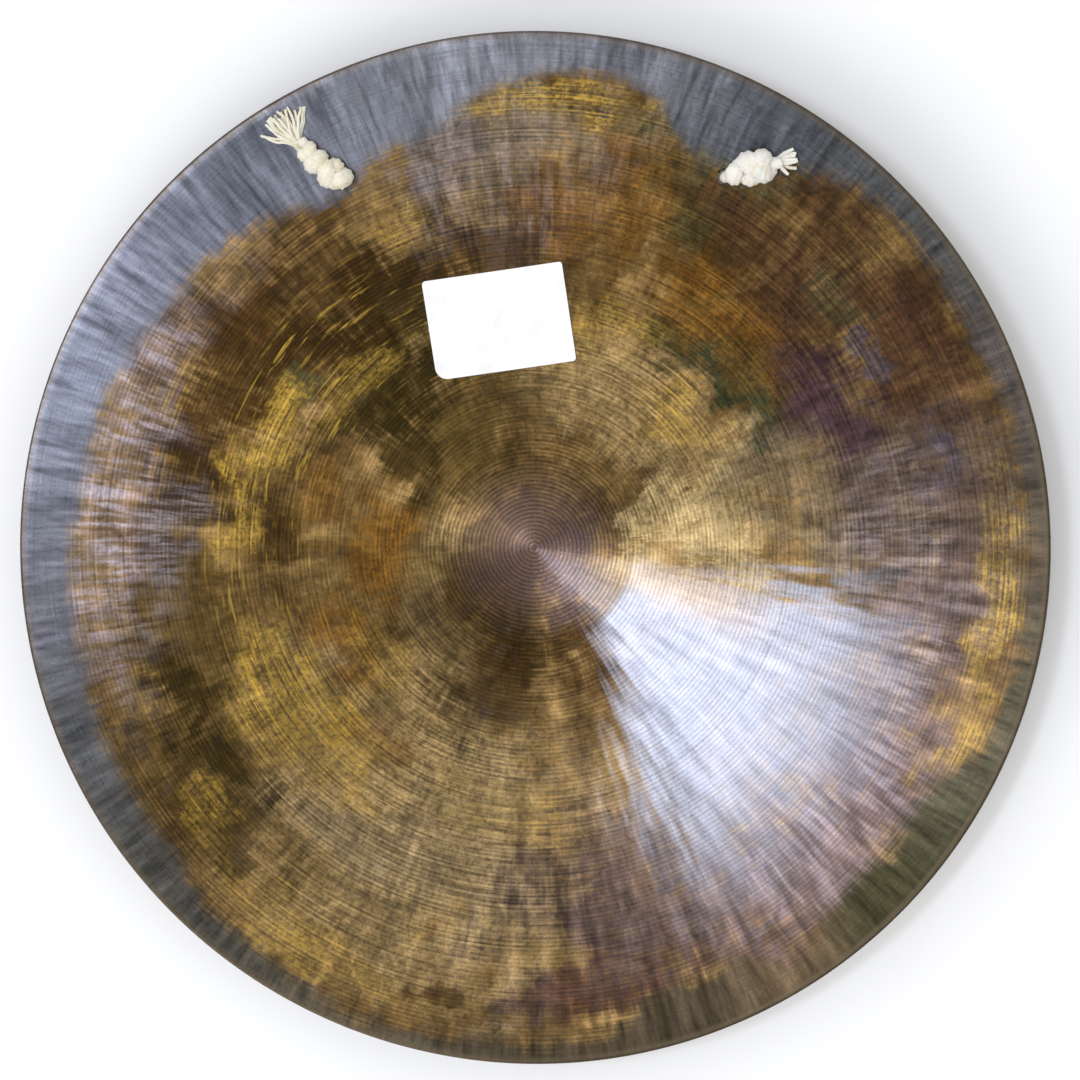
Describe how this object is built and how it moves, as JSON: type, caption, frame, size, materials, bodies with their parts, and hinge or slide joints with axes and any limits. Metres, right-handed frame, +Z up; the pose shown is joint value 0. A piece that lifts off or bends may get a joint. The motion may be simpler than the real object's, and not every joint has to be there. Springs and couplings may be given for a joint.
{
  "type": "tam tam gong",
  "caption": "Shallow dished bronze gong with a cotton hanging cord knotted through two holes near its top edge and a blank paper label.",
  "frame": {"origin": "middle of the flat face under the dish, which the gong rests on", "axes": "+Z up out of the dish's hollow side, +Y towards the edge with the two cord holes, +X to the right seen from the hollow side"},
  "size_m": [0.36, 0.36, 0.0334],
  "materials": {
    "bronze": "hammered and lathe-turned bronze with a dark olive and gold patina",
    "paper": "matt white paper",
    "cotton": "natural cotton rope"
  },
  "bodies": {
    "gong": {"gong_plate": "bronze", "paper_label": "paper", "left_knot": "cotton", "right_knot": "cotton", "left_tassel": "cotton", "right_tassel": "cotton", "left_cord_end": "cotton", "right_cord_end": "cotton"},
    "cord_loop": {"hanging_cord": "cotton"}
  },
  "joints": [
    {"name": "cord_swing", "type": "hinge", "parent": "gong", "child": "cord_loop", "pos_m": [0, 0.1295, 0.0152], "axis": [1, 0, 0], "range_deg": [0, 140]}
  ]
}
